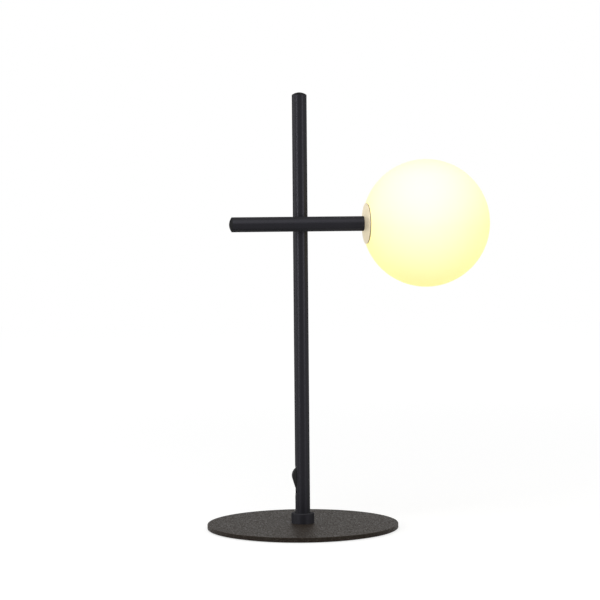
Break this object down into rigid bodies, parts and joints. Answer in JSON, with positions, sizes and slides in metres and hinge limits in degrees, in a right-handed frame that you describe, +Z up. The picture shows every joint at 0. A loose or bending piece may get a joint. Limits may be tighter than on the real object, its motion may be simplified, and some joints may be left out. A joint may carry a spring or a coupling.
{
  "type": "bedside lamp",
  "caption": "Bedside lamp: flat round base, upright tube, horizontal arm across it and an opal glass globe on the arm's end, with a rocker switch on the post.",
  "frame": {"origin": "on the table, at the centre of the base pad's underside, which is the post's axis", "axes": "+Z up along the post, +X along the arm towards the globe, -Y towards the front, where the arm passes"},
  "size_m": [0.3118, 0.21, 0.4783],
  "materials": {
    "plate_coat": "fine sand-textured powder coat, warm dark grey",
    "tube_coat": "matte black powder coat",
    "plug_plastic": "matte black",
    "switch_plastic": "fine-grained black",
    "housing_plastic": "black",
    "pad_foam": "matte black foam",
    "zinc_steel": "zinc plated",
    "brass": "satin",
    "champagne": "satin champagne anodised",
    "carrier_plastic": "white",
    "steatite": "unglazed white ceramic",
    "silicone": "matte tan silicone",
    "opal_glass": "opal, satin, lit from inside",
    "bulb_white": "white",
    "bulb_frost": "frosted diffuser",
    "pin_wire": "nickel plated wire",
    "brown_sleeve": "brown sleeve",
    "blue_sleeve": "blue sleeve"
  },
  "bodies": {
    "stand": {"base_plate": "plate_coat", "base_collar": "tube_coat", "post_tube": "tube_coat", "arm_tube": "tube_coat", "cross_saddle": "tube_coat", "post_plug": "plug_plastic", "arm_plug": "plug_plastic", "switch_housing": "housing_plastic", "cable_bush": "housing_plastic", "base_pad": "pad_foam", "foot_plug": "zinc_steel", "foot_screw": "zinc_steel", "collar_screw": "zinc_steel", "switch_pin": "zinc_steel", "post_nut": "zinc_steel", "arm_nut": "zinc_steel", "head_bush": "zinc_steel", "head_nut": "zinc_steel", "lampholder_bracket": "zinc_steel", "bracket_screws": "zinc_steel", "switch_terminals": "brass", "cross_nipple": "brass", "head_nipple": "brass", "lampholder_contacts": "brass", "neutral_splice": "brass", "globe_cap": "champagne", "globe_carrier": "carrier_plastic", "lampholder": "steatite", "live_lead": "brown_sleeve", "neutral_lead": "blue_sleeve"},
    "rocker": {"switch_rocker": "switch_plastic"},
    "seal": {"globe_gasket": "silicone"},
    "globe": {"globe": "opal_glass"},
    "bulb": {"bulb_base": "bulb_white", "bulb_pins": "pin_wire", "bulb_core": "bulb_white", "bulb_envelope": "bulb_frost"}
  },
  "joints": [
    {"name": "rocker_tilt", "type": "hinge", "parent": "stand", "child": "rocker", "pos_m": [-0.0035, 0, 0.053], "axis": [0, 1, 0], "range_deg": [0, 34]},
    {"name": "globe_draw", "type": "slide", "parent": "stand", "child": "seal", "axis": [1, 0, 0], "range_m": [0, 0.008]},
    {"name": "globe_turn", "type": "hinge", "parent": "seal", "child": "globe", "pos_m": [0.13685, -0.0182, 0.3347], "axis": [1, 0, 0], "range_deg": [0, 720]},
    {"name": "bulb_pull", "type": "slide", "parent": "stand", "child": "bulb", "axis": [1, 0, 0], "range_m": [0, 0.016]}
  ],
  "couplings": [
    {"joint": "globe_draw", "follows": "globe_turn", "m_per_rad": 0.00063662}
  ]
}
